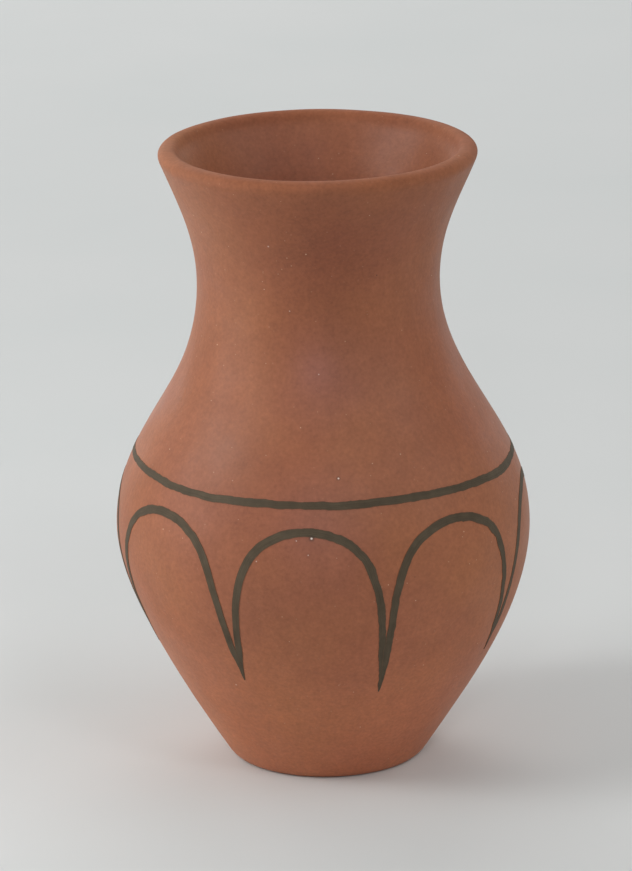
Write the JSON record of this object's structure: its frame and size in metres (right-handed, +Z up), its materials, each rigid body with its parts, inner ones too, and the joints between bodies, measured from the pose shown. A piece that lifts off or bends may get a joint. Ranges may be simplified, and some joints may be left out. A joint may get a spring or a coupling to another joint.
{
  "type": "clay vase",
  "caption": "Earthenware vase with a round belly, a waisted neck and a flared rounded lip, painted with a slip band over a row of slip arches; holds dried stems or stands as an ornament.",
  "frame": {"origin": "centre of the foot, on the surface that the vase stands on", "axes": "+Z up along the vase's axis of revolution; -Y is the side with the arch that faces the camera in the picture"},
  "size_m": [0.1518, 0.1518, 0.23],
  "materials": {
    "fired_clay": "unglazed, burnished to a soft satin",
    "dark_slip": "unglazed matte slip"
  },
  "bodies": {
    "root": {"clay_body": "fired_clay", "shoulder_band": "dark_slip", "slip_arch_1": "dark_slip", "slip_arch_2": "dark_slip", "slip_arch_3": "dark_slip", "slip_arch_4": "dark_slip", "slip_arch_5": "dark_slip", "slip_arch_6": "dark_slip", "slip_arch_7": "dark_slip", "slip_arch_8": "dark_slip"}
  },
  "joints": []
}
